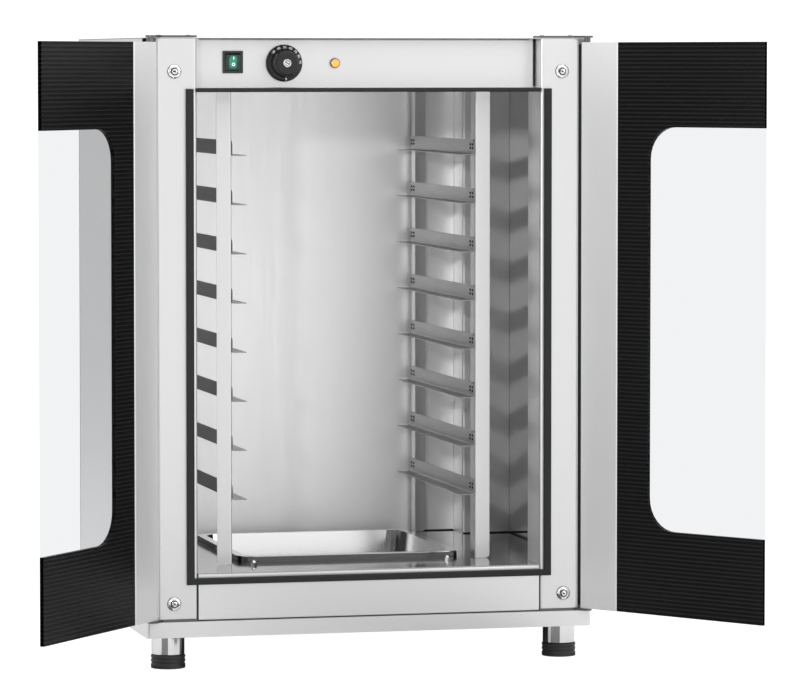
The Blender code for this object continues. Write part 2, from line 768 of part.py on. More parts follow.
def add_lamp(lens, root):
    """Pilot lamp: a domed lens on a shank through the panel."""
    dome, shank = lamp_diameter / 2, lamp_shank_diameter / 2
    profile = [(0, -lamp_length), (shank, -lamp_length), (shank, 0), (dome, 0), (dome, lamp_proud / 2)]
    rise = lamp_proud / 2
    for point in arc((0, 0), 1, 0, math.pi / 2, 5)[1:]:
        profile.append((dome * point[0], rise + rise * point[1]))
    profile[-1] = (0, lamp_proud)
    piece("pilot_lamp", turned(profile, steps=24), lens, root,
          (lamp_x, control_recess - fit_gap, knob_level), (math.pi / 2, 0, 0), smooth=True)


def add_gland(material, root):
    """Cable gland in the back panel, with a bore for the supply cable."""
    bore, shank, nut = gland_bore_diameter / 2, gland_shank_diameter / 2, gland_diameter / 2
    edge = gland_proud / 4
    profile = [
        (bore, -gland_inside - skin), (shank, -gland_inside - skin), (shank, fit_gap), (nut, fit_gap),
        (nut, gland_proud - edge), (nut - edge, gland_proud), (bore + edge, gland_proud),
        (bore, gland_proud - edge),
    ]
    piece("cable_gland", turned(profile, closed=True, steps=24), material, root,
          (gland_x, cabinet_depth, gland_level), (-math.pi / 2, 0, 0), smooth=True)


def window_edge(gap):
    """Edge of the window cut in from the free edge, from its lower to its upper end, grown by a gap."""
    corner_x = window_reach + window_radius
    radius = window_radius + gap
    quarter = math.pi / 2
    lower = arc((corner_x, window_margin + window_radius), radius, -quarter, -2 * quarter, 8)
    upper = arc((corner_x, door_height - window_margin - window_radius), radius, 2 * quarter, quarter, 8)
    return [(door_reach, lower[0][1]), *lower, *upper, (door_reach, upper[-1][1])]


def cell_bars(sign, sheet_start):
    """Bars as long as the sheet is wide, which leave its open cells above and below the window."""
    bm = bmesh.new()
    rows = int(window_margin / sheet_cell_pitch)
    step = window_margin / rows
    start, end = sheet_start - cut_overrun, door_reach + cut_overrun
    size = Matrix.Diagonal((end - start, sheet_thickness - 2 * sheet_wall, step - sheet_rib, 1))
    for arm_bottom in (0, door_height - window_margin):
        for row in range(rows):
            centre = (-sign * (start + end) / 2, 0, arm_bottom + (row + 1 / 2) * step)
            bmesh.ops.create_cube(bm, size=1, matrix=Matrix.Translation(centre) @ size)
    return bm


def add_door(side, sign, angle, steel, sheet_plastic, clear_plastic, root):
    """Door in its own frame: x runs from the pin to the free edge, +y towards the cabinet."""
    hinge = empty(f"door_hinge_{side}", root, (sign * pin_x, pin_y, post_bottom), sign * angle)

    def mirrored(outline):
        return [(-sign * t, v) for t, v in outline]

    half = stile_thickness / 2
    stile_end = stile_width - stile_edge
    outline = mirrored(rounded_rectangle(-stile_edge, stile_end, -half, half, stile_edge_radius / 2))
    stile = piece(f"door_stile_{side}", prism(outline, "z", 0, door_height), steel, hinge)
    inner = half - skin
    mouth = mirrored(rectangle(stile_edge, stile_end + cut_overrun, -inner, inner))
    cut(stile, prism(mouth, "z", -cut_overrun, door_height + cut_overrun))
    hollow = mirrored(rectangle(-stile_edge + skin, stile_end + cut_overrun, -inner, inner))
    cut(stile, prism(hollow, "z", stile_bush_height, door_height - stile_bush_height))
    cut(stile, cylinder(pin_diameter + 2 * fit_gap, -cut_overrun, door_height + cut_overrun))

    sheet_start = stile_edge + fit_gap
    outline = mirrored([(sheet_start, 0), (door_reach, 0), *window_edge(0),
                        (door_reach, door_height), (sheet_start, door_height)])
    sheet = piece(f"door_sheet_{side}", prism(outline, "y", -sheet_thickness / 2, sheet_thickness / 2),
                  sheet_plastic, hinge)
    cut(sheet, cell_bars(sign, sheet_start))
    pane = mirrored(window_edge(-fit_gap))
    piece(f"door_window_{side}", prism(pane, "y", -sheet_thickness / 2, sheet_thickness / 2),
          clear_plastic, hinge)


def rest_on_origin(root):
    """Moves the whole cabinet so that the middle of its footprint is the origin."""
    bpy.context.view_layer.update()
    depsgraph = bpy.context.evaluated_depsgraph_get()
    corners = []
    for made in bpy.data.objects:
        if made.type == "MESH" and not made.hide_render:
            seen = made.evaluated_get(depsgraph)
            corners += [seen.matrix_world @ Vector(corner) for corner in seen.bound_box]
    for axis in (0, 1):
        low = min(corner[axis] for corner in corners)
        high = max(corner[axis] for corner in corners)
        root.location[axis] = -(low + high) / 2
    root.location[2] = -min(corner[2] for corner in corners)
    bpy.context.view_layer.update()


def main():
    clear_scene()
    satin = finish("satin steel", (0.68, 0.68, 0.67), 0.32, 1.0)
    bright = finish("bright steel", (0.80, 0.80, 0.79), 0.12, 1.0)
    dull = finish("dull steel", (0.45, 0.45, 0.44), 0.40, 1.0)
    rubber = finish("black rubber", (0.02, 0.02, 0.02), 0.75)
    seal = finish("grey silicone", (0.05, 0.05, 0.05), 0.60)
    black = finish("black plastic", (0.015, 0.015, 0.015), 0.35)
    green = finish("green lens", (0.02, 0.30, 0.08), 0.25)
    orange = finish("orange lens", (0.80, 0.18, 0.02), 0.20)
    smoke = finish("black sheet", (0.015, 0.015, 0.015), 0.25)
    clear = finish("clear sheet", (0.90, 0.93, 0.93), 0.05, 0.0, 0.25)

    root = empty("cabinet", None)
    add_plinth(satin, root)
    add_feet(satin, rubber, root)
    add_outer_panels(satin, root)
    add_front_posts(satin, root)
    add_hinge_plates(dull, root)
    add_chamber(satin, root)
    add_front_panels(satin, root)
    add_gaskets(seal, root)
    add_rack(satin, root)
    add_water_pan(bright, dull, root)
    add_heater(dull, root)
    add_switch(black, green, root)
    add_thermostat(black, black, root)
    add_lamp(orange, root)
    add_gland(black, root)
    for side, angle in (("left", door_open_left), ("right", door_open_right)):
        add_door(side, sides[side], angle, satin, smoke, clear, root)
    rest_on_origin(root)


main()
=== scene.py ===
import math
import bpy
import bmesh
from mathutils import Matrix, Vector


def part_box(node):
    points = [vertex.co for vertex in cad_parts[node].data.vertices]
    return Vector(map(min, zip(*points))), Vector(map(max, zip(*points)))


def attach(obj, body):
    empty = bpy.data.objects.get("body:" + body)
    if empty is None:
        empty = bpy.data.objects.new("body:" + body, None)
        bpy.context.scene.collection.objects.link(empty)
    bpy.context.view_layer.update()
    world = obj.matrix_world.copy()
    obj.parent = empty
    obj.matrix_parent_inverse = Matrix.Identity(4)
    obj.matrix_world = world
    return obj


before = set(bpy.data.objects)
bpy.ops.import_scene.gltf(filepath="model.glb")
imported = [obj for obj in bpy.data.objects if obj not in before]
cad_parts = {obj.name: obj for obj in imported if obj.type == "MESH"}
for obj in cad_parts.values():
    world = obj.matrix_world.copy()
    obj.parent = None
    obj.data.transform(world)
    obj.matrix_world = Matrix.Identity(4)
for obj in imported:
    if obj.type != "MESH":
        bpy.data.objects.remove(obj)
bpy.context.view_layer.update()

# %% [markdown]
# # A proofing cabinet in stainless steel
#
# A proofer keeps rising dough warm and damp. It is a box of folded stainless sheet with a pair
# of doors, eight pairs of rails for trays, a pan of water over a heating element, and a
# thermostat with a switch and a lamp in a recess above the doors. The folded sheets, doors, rails
# and controls are already here, so this lesson adds the small fittings and, above all, the
# finishes that make steel look like steel.

# %% [markdown]
# The fittings are given in millimetres from the middle of the cabinet, the faces of its front
# posts and the ground. The side panels give the middle and a post gives the front, so that
# nothing has to be typed twice.

# %% Find the cabinet's own axes
left_skin, right_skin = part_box("side_panel_left"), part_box("side_panel_right")
middle = (left_skin[0][0] + right_skin[1][0]) / 2
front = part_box("front_post_left")[0][1]


def at(x, y, z):
    """Place in metres from millimetres off the cabinet's middle, front and ground."""
    return Vector((middle + x / 1000, front + y / 1000, z / 1000))


print("the middle is at x", round(middle, 4), "and the front at y", round(front, 4))

# %% [markdown]
# The photograph was taken with a long lens from a little over six metres away, about fourteen
# degrees to the left of square on, at the height of the controls. The camera looks a little down
# on the cabinet, and a small shift of the lens does the rest, so that the posts stay almost
# upright in the picture.

# %% Set up the camera
lens = bpy.data.cameras.new("camera")
lens.sensor_width = 36.0
lens.lens = 205.6
lens.shift_y = -0.05
lens.clip_end = 60.0
camera = bpy.data.objects.new("camera", lens)
camera.location = at(-1484.3, -6254.0, 851.4)
tilt_down, turn_right = math.radians(3.026), math.radians(13.7246)
camera.rotation_euler = (math.radians(90) - tilt_down, 0, -turn_right)
bpy.context.collection.objects.link(camera)
bpy.context.scene.camera = camera
print("the camera stands", round((camera.location - at(0, 0, 850)).length, 2), "m away")

# %% [markdown]
# Product shots of steel are lit by what the steel can mirror. A white room, a big soft box
# overhead and another at the right front give the broad pale faces. A small box at the left
# front reaches between the rails into the chamber, where it draws their shadows on the back.

# %% Light the studio
scene = bpy.context.scene
scene.view_settings.view_transform = "Standard"
scene.view_settings.look = "None"
world = bpy.data.worlds.new("studio")
world.use_nodes = True
world.node_tree.nodes["Background"].inputs["Color"].default_value = (1.0, 1.0, 1.0, 1.0)
world.node_tree.nodes["Background"].inputs["Strength"].default_value = 1.22
scene.world = world


def soft_box(name, place, target, width, height, power):
    """Area light that faces a target."""
    light = bpy.data.lights.new(name, "AREA")
    light.shape = "RECTANGLE"
    light.size = width
    light.size_y = height
    light.energy = power
    lamp = bpy.data.objects.new(name, light)
    lamp.location = place
    lamp.rotation_euler = (target - place).to_track_quat("-Z", "Y").to_euler()
    bpy.context.collection.objects.link(lamp)


soft_box("overhead", at(0, -200, 3200), at(0, 100, 0), 3.0, 3.0, 50)
soft_box("front_right", at(2200, -2600, 1500), at(0, 0, 450), 1.6, 2.4, 16)
soft_box("front_left", at(-1360, -2400, 1170), at(200, 300, 450), 0.12, 0.12, 17)
print(len(bpy.data.lights), "lamps")

# %% [markdown]
# Steel that mirrors nothing but white looks like paper, so grey and black cards of felt stand
# where only reflections see them. The one behind the camera darkens the chamber's mirror walls,
# the one behind the cabinet its flank, and those on the table the lower faces and the round legs.
# The black one under the cabinet is painted shade, for the shadow that the lit table hardly shows.

# %% Cards for the reflections
def card(name, corner, across, up, tone):
    """Card of one grey that only reflections see, from one corner and its two edges."""
    bm = bmesh.new()
    far = corner + across
    bm.faces.new([bm.verts.new(place) for place in (corner, far, far + up, corner + up)])
    mesh = bpy.data.meshes.new(name)
    bm.to_mesh(mesh)
    bm.free()
    felt = bpy.data.materials.new(name)
    felt.use_nodes = True
    shader = felt.node_tree.nodes["Principled BSDF"]
    shader.inputs["Base Color"].default_value = (tone, tone, tone, 1.0)
    shader.inputs["Roughness"].default_value = 0.9
    mesh.materials.append(felt)
    board = bpy.data.objects.new(name, mesh)
    board.visible_camera = False
    board.visible_shadow = False
    board.visible_diffuse = False
    board.visible_transmission = False
    bpy.context.collection.objects.link(board)


card("card_behind_camera", at(-3300, -7200, 0), Vector((2.9, -0.7, 0)), Vector((0, 0, 3.2)), 0.01)
card("card_behind_cabinet", at(-3000, 2700, 0), Vector((2.3, 0, 0)), Vector((0, 0, 2.4)), 0.42)
card("card_on_table", at(-3000, -6500, 1), Vector((7.5, 0, 0)), Vector((0, 8.5, 0)), 0.78)
# Black card under the cabinet: painted shade, in place of the shadow there.
card("shade_card_under_cabinet", at(-318, 10, 2), Vector((0.636, 0, 0)), Vector((0, 0.67, 0)), 0.03)
for side, x in (("left", -285), ("right", 285)):
    card("card_by_foot_" + side, at(x, 38, 3), Vector((-0.44, -0.24, 0)), Vector((-0.05, -0.5, 0)), 0.15)

# %% [markdown]
# Each finish starts from a real material. Its colours are written as screen colours, the way a
# paint chart gives them, and one function turns them into the linear light that shaders work
# in. A material that is even all over needs no more than a colour and a few values.

# %% Colours and even materials
def linear(hex_colour):
    """Shader colour from an sRGB hex value."""
    parts = [int(hex_colour[i:i + 2], 16) / 255 for i in (0, 2, 4)]
    light = [c / 12.92 if c <= 0.04045 else ((c + 0.055) / 1.055) ** 2.4 for c in parts]
    return (*light, 1.0)


def sockets_of(material):
    """Inputs of the material's shader."""
    return material.node_tree.nodes["Principled BSDF"].inputs


def new_material(name, colour, roughness, metallic=0.0, **others):
    """Material with its even values set on the shader itself."""
    material = bpy.data.materials.new(name)
    material.use_nodes = True
    sockets = sockets_of(material)
    sockets["Base Color"].default_value = linear(colour)
    sockets["Roughness"].default_value = roughness
    sockets["Metallic"].default_value = metallic
    for socket, value in others.items():
        sockets[socket.replace("_", " ")].default_value = value
    return material


print("f2f2f2 is", [round(c, 3) for c in linear("f2f2f2")])

# %% [markdown]
# Where a surface varies, nodes drive the shader. One function adds a node, sets it and joins it
# up. Nearly every surface here has a grain that shows in two ways, so one noise drives both the
# roughness, which breaks up the highlight, and a faint bump.

# %% Nodes and grain
def add_node(material, kind, inputs=None, **settings):
    """Node with its settings, and each input set or joined to another node's output."""
    made = material.node_tree.nodes.new(kind)
    for name, value in settings.items():
        setattr(made, name, value)
    for name, value in (inputs or {}).items():
        if isinstance(value, bpy.types.NodeSocket):
            material.node_tree.links.new(value, made.inputs[name])
        else:
            made.inputs[name].default_value = value
    return made


def connect(material, output, socket):
    """Output of a node joined to a socket of the shader."""
    material.node_tree.links.new(output, sockets_of(material)[socket])


def grained(material, grain, roughness, spread, strength, depth):
    """Roughness and bump that follow a noise, with the bump's depth in metres."""
    rough = add_node(material, "ShaderNodeMapRange",
                     {"Value": grain.outputs["Fac"], "From Min": 0.3, "From Max": 0.7,
                      "To Min": roughness - spread, "To Max": roughness + spread})
    connect(material, rough.outputs["Result"], "Roughness")
    bump = add_node(material, "ShaderNodeBump",
                    {"Height": grain.outputs["Fac"], "Strength": strength, "Distance": depth})
    connect(material, bump.outputs["Normal"], "Normal")


print("helpers for nodes and grain are ready")

# %% [markdown]
# The posts, panels and doors' stiles are satin stainless steel, a sheet ground with a fine belt
# along its length. To the eye it is a soft grey glow with hair-fine lines, which a noise
# stretched along the grain gives. Real grain is about 0.1 mm wide. It is drawn 0.7 mm wide here,
# because finer lines than that vanish in the render. The casing behind the posts is the same
# steel with a darker tone, as painted shade. The stiles are rougher and look softer, and their
# lighter tone is painted light.

# %% Satin stainless steel
def brushed(name, colour, roughness, spread, grain_mm, length_mm, along="z", depth=0.00002):
    """Steel with grain along one axis."""
    material = new_material(name, colour, roughness, metallic=1.0)
    sizes = [length_mm if axis == along else grain_mm for axis in "xyz"]
    place = add_node(material, "ShaderNodeTexCoord")
    stretch = add_node(material, "ShaderNodeMapping",
                       {"Vector": place.outputs["Object"], "Scale": [1000 / size for size in sizes]})
    grain = add_node(material, "ShaderNodeTexNoise",
                     {"Vector": stretch.outputs["Vector"], "Scale": 1.0, "Detail": 3.0})
    grained(material, grain, roughness, spread, 0.5, depth)
    return material


belt_ground = {"spread": 0.03, "grain_mm": 0.7, "length_mm": 90, "depth": 0.000008}
# Posts and rack uprights: a pale glow with hair-fine upright lines.
satin_upright = brushed("satin_stainless_vertical", "cbcbcb", 0.42, **belt_ground)
# Top and back: the same glow with a darker tone, painted shade so that the casing steps back behind the
# posts.
satin_shell_painted_shade = brushed("satin_stainless_shell_painted_shade", "b6b6b6", 0.46, **belt_ground)
# Front panels: the lines run across, so the highlight spreads up and down.
satin_across = brushed("satin_stainless_across", "cfcfcf", 0.42, along="x", **belt_ground)
# Stiles of the doors: rougher, so without a clear highlight, and nearly white as painted light.
satin_stile_painted_light = brushed("satin_stainless_stile_painted_light", "e2e2e2", 0.56, **belt_ground)
print("grain is", belt_ground["grain_mm"], "mm wide and", belt_ground["length_mm"], "mm long")

# %% [markdown]
# Inside, the floor and the ceiling are bright annealed sheet, which comes off the mill almost as
# smooth as a mirror. The floor is given a darker tone, as painted shade. The back is the same
# sheet rubbed duller, and its near-white tone is painted light. The legs, washers and dome nuts
# are polished, and the drawn pan keeps a slight blur from the press. Small screws
# are zinc plated, the hinges are plated black, and the heater's sheath has dulled with heat. All
# of them have a grain, so the function for satin steel makes them too, with other values.

# %% Mill, polished and plated finishes
# Ceiling: clear but slightly drawn-out reflections.
bright = brushed("bright_annealed_sheet", "e4e4e4", 0.12, 0.02, 1.5, 60, depth=0.000004)
# Floor: a mirror that shows the rails upside down, darkened as painted shade.
deck_painted_shade = brushed("bright_annealed_floor_painted_shade", "8c8c8c", 0.10, 0.02, 1.5, 60, along="x", depth=0.000004)
# Back: an even pale glow that shadows show on; the near-white tone is painted light.
dull = brushed("dull_annealed_liner_painted_light", "fcfcfc", 0.48, 0.03, 1.2, 80, depth=0.000008)
# Rails: grey with a broad weak sheen.
mill = brushed("mill_finish_rail", "8a8a8a", 0.36, 0.04, 1.0, 40, along="y", depth=0.00001)
# Legs, washers and nuts: sharp bands of black and white.
polished = brushed("polished_stainless", "d8d8d8", 0.08, 0.02, 1.0, 30, depth=0.000003)
# Water pan: bright, with soft-edged reflections.
drawn = brushed("deep_drawn_pan", "dedede", 0.17, 0.03, 1.0, 30, depth=0.000004)
# Frame of the pan: dark grey, so that the pan stands out from it.
support_steel = brushed("mill_finish_bracket", "5e5e5d", 0.30, 0.04, 1.0, 30, along="x",
                        depth=0.00001)
# Small screws: dull, cloudy grey.
zinc = brushed("zinc_plated_steel", "8a8a88", 0.38, 0.06, 1.2, 6, along="x")
# Hinge plates: darker and cloudy, with a metal sheen still.
hinge_steel = brushed("black_zinc_hinge", "646464", 0.36, 0.06, 1.2, 6, along="x")
# Heater: brownish grey and matt.
sheath = brushed("heater_sheath", "6b6863", 0.45, 0.08, 1.0, 8, along="x")
print("floor, ceiling, back, rails, pan, legs and plated parts have their steel")

# %% [markdown]
# The side panels are one sheet with two finishes: satin outside, where hands touch it, and mirror
# bright inside, where it shows the rails a second time. Inside it has a dark grey tone as painted
# shade, so that it looks dark between the rails. One material does both, because a sheet is one
# piece. The distance from the cabinet's middle tells which side of the sheet a point is on, and
# chooses the tone and the roughness.

# %% Side panels, satin outside and bright inside
two_faced = brushed("side_panel_sheet", "e0e0e0", 0.42, **belt_ground)
satin_roughness = sockets_of(two_faced)["Roughness"].links[0].from_socket
half_width = (right_skin[1][0] - left_skin[0][0]) / 2
skin_depth = 0.0003
mirror_roughness = 0.05
place = add_node(two_faced, "ShaderNodeTexCoord")
across = add_node(two_faced, "ShaderNodeSeparateXYZ", {"Vector": place.outputs["Object"]})
offset = add_node(two_faced, "ShaderNodeMath", {0: across.outputs["X"], 1: middle}, operation="SUBTRACT")
reach = add_node(two_faced, "ShaderNodeMath", {0: offset.outputs["Value"]}, operation="ABSOLUTE")
outside = add_node(two_faced, "ShaderNodeMath",
                   {0: reach.outputs["Value"], 1: half_width - skin_depth}, operation="GREATER_THAN")
both = add_node(two_faced, "ShaderNodeMix",
                {"Factor": outside.outputs["Value"], "A": mirror_roughness, "B": satin_roughness},
                data_type="FLOAT")
connect(two_faced, both.outputs["Result"], "Roughness")
# The dark grey inside tone is painted shade.
inside_shade_tones = add_node(two_faced, "ShaderNodeMix",
                 {"Factor": outside.outputs["Value"], "A": linear("707070"), "B": linear("e0e0e0")},
                 data_type="RGBA")
connect(two_faced, inside_shade_tones.outputs["Result"], "Base Color")
print("the side panels are satin beyond", round(half_width - skin_depth, 4), "m from the middle")

# %% [markdown]
# Rubber, silicone and black plastic differ mostly in how they shine. Moulded rubber is matt with
# a fine bloom, extruded silicone is a soft even black, and the phenolic knob and the nylon
# housings are glossier, with the very slight ripple of a moulding.

# %% Moulded blacks
def moulded(name, colour, roughness, grain_mm, depth, spread=0.05, **others):
    """Plastic or rubber with a fine moulded grain."""
    material = new_material(name, colour, roughness, **others)
    place = add_node(material, "ShaderNodeTexCoord")
    grain = add_node(material, "ShaderNodeTexNoise",
                     {"Vector": place.outputs["Object"], "Scale": 1000 / grain_mm, "Detail": 2.0})
    grained(material, grain, roughness, spread, 0.4, depth)
    return material


# Shoes and seals: matt and even.
rubber = moulded("moulded_epdm_rubber", "141414", 0.55, 1.2, 0.00006)
# Gasket and joint strips: hardly any highlight, so that they draw clean dark lines, which on the joint
# strips are painted shade.
silicone = moulded("extruded_silicone", "141516", 0.55, 1.0, 0.00004, Specular_IOR_Level=0.3)
# Knob: a small clear highlight along its grip.
phenolic = moulded("phenolic_knob", "161616", 0.30, 2.0, 0.00001, spread=0.03, Specular_IOR_Level=0.35)
# Switch housing, thermostat body and gland: a softer highlight.
nylon = moulded("moulded_nylon", "161616", 0.38, 0.8, 0.00003)
print("rubber, silicone, phenolic and nylon made")

# %% [markdown]
# The switch and the pilot lamp are clear coloured plastic with a small neon lamp behind it. What
# the eye sees is a bright patch that fades towards the rim of the moulding. The patch is a mask
# on the distance from the middle of the lens, and it sets both the colour and the glow.

# %% Lit lenses
def lit_lens(name, node, rim, core, glow, half_width, half_height, edge, rounded=False):
    """Coloured plastic, lit from behind within an ellipse or a rounded oblong, in millimetres."""
    material = new_material(name, core, 0.2, Emission_Strength=1.0)
    low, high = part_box(node)
    across, up = 1000 / half_width, 1000 / half_height
    place = add_node(material, "ShaderNodeTexCoord")
    centred = add_node(material, "ShaderNodeMapping", {
        "Vector": place.outputs["Object"], "Scale": (across, 0, up),
        "Location": (-(low[0] + high[0]) / 2 * across, 0, -(low[2] + high[2]) / 2 * up)})
    squares = add_node(material, "ShaderNodeVectorMath",
                       {0: centred.outputs["Vector"], 1: centred.outputs["Vector"]}, operation="MULTIPLY")
    shape = squares if rounded else centred
    off = add_node(material, "ShaderNodeVectorMath", {0: shape.outputs["Vector"]}, operation="LENGTH")
    patch = add_node(material, "ShaderNodeMapRange",
                     {"Value": off.outputs["Value"], "From Min": 1.0, "From Max": 1.0 - edge})
    for socket, first, second in (("Base Color", rim, core), ("Emission Color", "000000", glow)):
        mixed = add_node(material, "ShaderNodeMix",
                         {"Factor": patch.outputs["Result"], "A": linear(first), "B": linear(second)},
                         data_type="RGBA")
        connect(material, mixed.outputs["Result"], socket)
    return material


# Pilot lamp: a round amber glow with a dark rim.
orange = lit_lens("amber_lens", "pilot_lamp", "5a2c0c", "d08030", "d79a52", 6.2, 6.2, 0.16)
# Rocker: a green glow that fades early towards the edges.
green = lit_lens("green_rocker_lens", "switch_rocker", "03251e", "0c4a3a", "1b8064", 6.4, 10.0, 0.6,
                 rounded=True)
print("amber and green lenses made")

# %% [markdown]
# The doors are black twin-wall polycarbonate: two skins a few millimetres apart, held by ribs
# 5.8 mm apart that run across the door. The skins sink slightly between the ribs, and the ribs
# show through as faint lines. A wave along the height does both, so that the lines keep the real
# spacing. The window is a flat pane of clear sheet. A flat pane hardly shifts what lies behind
# it, so it is made not to bend light at all, and the view through it stays clean.

# %% Door sheets
flute_mm = 5.8
# Door sheet: black with a soft sheen and fine lines across.
sheet_black = new_material("twin_wall_polycarbonate", "101011", 0.26, Specular_IOR_Level=0.09)
place = add_node(sheet_black, "ShaderNodeTexCoord")
height = add_node(sheet_black, "ShaderNodeSeparateXYZ", {"Vector": place.outputs["Object"]})
turns = add_node(sheet_black, "ShaderNodeMath",
                 {0: height.outputs["Z"], 1: 2 * math.pi * 1000 / flute_mm}, operation="MULTIPLY")
flutes = add_node(sheet_black, "ShaderNodeMath", {0: turns.outputs["Value"]}, operation="SINE")
ribs = add_node(sheet_black, "ShaderNodeMapRange",
                {"Value": flutes.outputs["Value"], "From Min": 0.2, "From Max": 1.0})
tint = add_node(sheet_black, "ShaderNodeMix",
                {"Factor": ribs.outputs["Result"], "A": linear("0b0b0b"), "B": linear("1e1e1f")},
                data_type="RGBA")
connect(sheet_black, tint.outputs["Result"], "Base Color")
sink = add_node(sheet_black, "ShaderNodeBump",
                {"Height": flutes.outputs["Value"], "Strength": 0.6, "Distance": 0.00009})
connect(sheet_black, sink.outputs["Normal"], "Normal")

# Window pane: a faint grey over what lies behind, and no reflections.
clear = new_material("clear_polycarbonate", "dddedf", 0.03, IOR=1.0, Transmission_Weight=1.0)
print("ribs every", flute_mm, "mm")

# %% [markdown]
# Every node of the model gets the finish of the real part. Nodes that share a finish mostly
# share the start of their name too, so a short table of such starts does the work.

# %% Finish the model's own parts
finishes = {
    "front_post": satin_upright, "side_panel": two_faced, "top_and_back_panel": satin_shell_painted_shade,
    "control_panel": satin_across, "lower_front_panel": satin_across, "plinth_frame": satin_across,
    "door_stile": satin_stile_painted_light, "back_liner": dull, "ceiling_panel": bright, "floor_pan": deck_painted_shade,
    "upright": satin_upright, "rail": mill, "pan_support": support_steel, "water_pan": drawn,
    "heater_element": sheath, "hinge": hinge_steel, "foot_leg": polished, "foot_shoe": rubber,
    "gasket": silicone, "switch_housing": nylon, "switch_rocker": green, "thermostat_body": nylon,
    "thermostat_knob": phenolic, "pilot_lamp": orange, "cable_gland": nylon,
    "door_sheet": sheet_black, "door_window": clear,
}
for name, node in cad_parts.items():
    chosen = next(finish for start, finish in finishes.items() if name.startswith(start))
    for slot in node.material_slots:
        slot.material = chosen
print(len(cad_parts), "nodes finished")

# %% [markdown]
# Screws, washers, nuts and plugs are turned on a lathe. Here too a turned shape starts from its
# section, a short chain of points, which is spun once round. The same shape then goes to each
# place that needs one.

# %% Turned shapes and their copies
mm = 0.001


def spun(profile, steps=32):
    """Closed turned shape from (radius, height) points in millimetres, about Z."""
    bm = bmesh.new()
    points = [bm.verts.new((radius * mm, 0, height * mm)) for radius, height in profile]
    edges = [bm.edges.new(pair) for pair in zip(points, points[1:])]
    bmesh.ops.spin(bm, geom=points + edges, cent=(0, 0, 0), axis=(0, 0, 1),
                   angle=2 * math.pi, steps=steps, use_merge=True)
    return bm


def gather(parts):
    """One shape from several."""
    whole = bmesh.new()
    for part in parts:
        mesh = bpy.data.meshes.new("part")
        part.to_mesh(mesh)
        part.free()
        whole.from_mesh(mesh)
        bpy.data.meshes.remove(mesh)
    return whole


def repeat(bm, places):
    """The shape copied to each place, given as matrices."""
    copies = []
    for place in places:
        copy = bm.copy()
        bmesh.ops.transform(copy, matrix=place, verts=copy.verts)
        copies.append(copy)
    bm.free()
    return gather(copies)


print("turned shapes have 32 sides, and very small ones 24")

# %% [markdown]
# When a piece is done, its doubled points are merged and its faces turned outwards. Round faces
# are shaded smooth and edges sharper than 35 degrees stay crisp. Then the piece rides on the
# body that carries it, so that it moves with the door, the knob or the rocker.

# %% Finish a piece
def keep(name, bm, material, body="cabinet"):
    """Piece that rides on a body, with the given material in its one slot."""
    bmesh.ops.remove_doubles(bm, verts=bm.verts, dist=0.000001)
    bmesh.ops.recalc_face_normals(bm, faces=bm.faces)
    mesh = bpy.data.meshes.new(name)
    bm.to_mesh(mesh)
    bm.free()
    mesh.materials.append(material)
    mesh.shade_smooth()
    mesh.set_sharp_from_angle(angle=math.radians(35))
    made = bpy.data.objects.new(name, mesh)
    bpy.context.collection.objects.link(made)
    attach(made, body)
    print(name, len(mesh.polygons), "faces")


facing_front = Matrix.Rotation(math.pi / 2, 4, "X")
print("pieces made lying flat are turned to face the front")

# %% [markdown]
# Each post is held by a socket screw at its top and foot. A cup washer lifts the head and
# spreads its load on the thin sheet. A black rubber ring under the washer and up its bore draws
# a thin dark edge round it, painted shade at the washer's rim. Washer and ring are turned. The
# head is a stack of circles bridged together, whose last two circles are the hexagon of the
# socket, sunk into it.

# %% Post screws with cup washers and seals
washer = spun([(5.3, 0.95), (5.3, 3.0), (5.7, 3.4), (6.4, 3.3), (8.6, 2.1), (9.3, 1.6), (9.3, 0.95),
               (5.3, 0.95)])
screw_spots = [(-280, 836.8), (280, 836.8), (-282, 92.6), (283, 92.6)]
post_places = [Matrix.Translation(at(x, 0, z)) @ facing_front for x, z in screw_spots]
keep("post_washers", repeat(washer, post_places), polished)
# Black ring round each washer: painted shade at its rim.
seal = spun([(4.5, 0.05), (4.5, 3.0), (4.8, 3.2), (5.2, 3.0), (5.2, 0.9), (9.5, 0.9), (9.9, 0.7),
             (9.9, 0.05), (4.5, 0.05)])
keep("post_seals_painted_shade", repeat(seal, post_places), rubber)


def socket_head(radius, height, socket_radius):
    """Button head with a hexagon socket, in millimetres, standing on z = 0.05."""
    bm = bmesh.new()
    hexagon, socket_floor = socket_radius / radius, 0.55
    rings = []
    for share, level, sides in ((1.0, 0.05 / height, 24), (1.0, 0.6, 24), (0.88, 0.88, 24),
                                (0.62, 1.0, 24), (hexagon, 1.0, 6), (hexagon, socket_floor, 6)):
        ring = bmesh.ops.create_circle(bm, segments=sides, radius=radius * share * mm,
                                       cap_ends=level == socket_floor,
                                       matrix=Matrix.Translation((0, 0, height * level * mm)))
        rings.append(ring["verts"])
    for lower, upper in zip(rings, rings[1:]):
        loops = [e for ring in (lower, upper) for e in bm.edges
                 if e.verts[0] in ring and e.verts[1] in ring]
        bmesh.ops.bridge_loops(bm, edges=loops)
    return bm


keep("post_screws", repeat(socket_head(4.4, 4.3, 1.5), post_places), polished)

# %% [markdown]
# The folded top and back is fixed with small button screws down the two sides of the back and
# through the hinge plates on top. The same head does for all of them.

